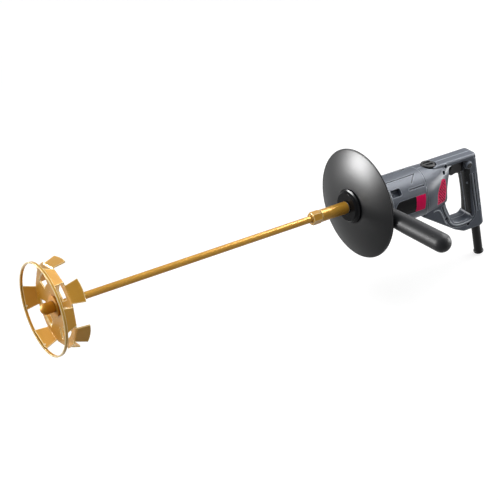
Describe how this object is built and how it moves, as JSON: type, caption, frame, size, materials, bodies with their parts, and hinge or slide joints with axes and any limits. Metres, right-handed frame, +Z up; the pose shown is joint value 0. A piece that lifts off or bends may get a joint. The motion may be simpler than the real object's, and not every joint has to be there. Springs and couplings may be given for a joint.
{
  "type": "mixing drill",
  "caption": "Hand-held electric mixing drill with a D-grip, side handle, dished splash guard and a long rod carrying a ringed disc stirrer",
  "frame": {"origin": "middle of the main grip, where a hand holds the tool", "axes": "+X from the stirrer towards the rear handle along the spindle, +Y to the tool's right, +Z up"},
  "size_m": [0.8608, 0.2798, 0.2749],
  "materials": {
    "gold_steel": "zinc plated and gold passivated, satin",
    "steel": "ground",
    "gear_steel": "cut and hardened",
    "guard_black": "satin black moulding",
    "collar_black": "gloss black",
    "case_alloy": "die cast",
    "seal_rubber": "moulded",
    "bush_bronze": "sintered bronze",
    "lamination": "stacked sheet",
    "copper": "enamelled copper",
    "carbon": "carbon",
    "fan_plastic": "moulded",
    "body_slate": "fine grained moulding",
    "label_black": "printed film",
    "crimson": "moulded in colour",
    "black_plastic": "moulded",
    "boot_rubber": "moulded",
    "grip_rubber": "soft sleeve",
    "band_plastic": "moulded",
    "stud_steel": "threaded stud"
  },
  "bodies": {
    "spindle": {"stirrer_disc": "gold_steel", "stirrer_ring": "gold_steel", "stirrer_rod": "gold_steel", "stirrer_cap_nut": "gold_steel", "rod_hex": "gold_steel", "coupling_sleeve": "gold_steel", "spindle": "steel", "output_gear": "gear_steel"},
    "lay_shaft": {"lay_shaft": "steel", "lay_gear": "gear_steel"},
    "armature": {"armature_shaft": "steel", "armature_core": "lamination", "armature_windings": "copper", "commutator": "copper", "fan": "fan_plastic"},
    "trigger": {"trigger": "black_plastic"},
    "lock_button": {"lock_button": "body_slate"},
    "speed_dial": {"speed_dial": "black_plastic"},
    "side_handle": {"side_handle_band": "band_plastic", "side_handle_stud": "stud_steel", "side_handle_grip": "grip_rubber"},
    "tool": {"spindle_bearing": "steel", "armature_front_bearing": "steel", "armature_rear_bearing": "steel", "gear_case_screws": "steel", "handle_screws": "steel", "guard": "guard_black", "guard_collar": "collar_black", "gear_housing": "case_alloy", "gear_plate": "case_alloy", "oil_seal": "seal_rubber", "spindle_bush": "bush_bronze", "lay_front_bush": "bush_bronze", "lay_rear_bush": "bush_bronze", "stator_core": "lamination", "field_coils": "copper", "brush_springs": "copper", "brush_holders": "copper", "brushes": "carbon", "speed_module": "fan_plastic", "switch_body": "fan_plastic", "motor_housing": "body_slate", "handle_shell_left": "body_slate", "handle_shell_right": "body_slate", "label_panel_black": "label_black", "label_panel_red": "crimson", "vent_grille_left": "crimson", "vent_grille_right": "crimson", "cord_boot": "boot_rubber"}
  },
  "joints": [
    {"name": "spindle_spin", "type": "hinge", "parent": "tool", "child": "spindle", "pos_m": [-0.2488, 0, 0.0405], "axis": [1, 0, 0], "continuous": true},
    {"name": "lay_spin", "type": "hinge", "parent": "tool", "child": "lay_shaft", "pos_m": [-0.1928, 0.01875, 0.01954], "axis": [1, 0, 0], "continuous": true},
    {"name": "armature_spin", "type": "hinge", "parent": "tool", "child": "armature", "pos_m": [-0.1388, 0, 0.0265], "axis": [1, 0, 0], "continuous": true},
    {"name": "trigger_pull", "type": "slide", "parent": "tool", "child": "trigger", "axis": [1, 0, 0], "range_m": [0, 0.006], "stiffness_N_per_m": 900, "springref_m": -0.004},
    {"name": "lock_button_press", "type": "slide", "parent": "tool", "child": "lock_button", "axis": [0, 1, 0], "range_m": [0, 0.0025], "stiffness_N_per_m": 900, "springref_m": -0.002},
    {"name": "speed_dial_turn", "type": "hinge", "parent": "tool", "child": "speed_dial", "pos_m": [-0.1003, 0, 0.0685], "axis": [0, 0, 1], "range_deg": [0, 270]},
    {"name": "side_handle_swivel", "type": "hinge", "parent": "tool", "child": "side_handle", "pos_m": [-0.2368, 0, 0.0405], "axis": [1, 0, 0], "range_deg": [-180, 180]}
  ],
  "couplings": [
    {"joint": "lay_spin", "follows": "spindle_spin", "ratio": -4},
    {"joint": "armature_spin", "follows": "spindle_spin", "ratio": 21}
  ]
}
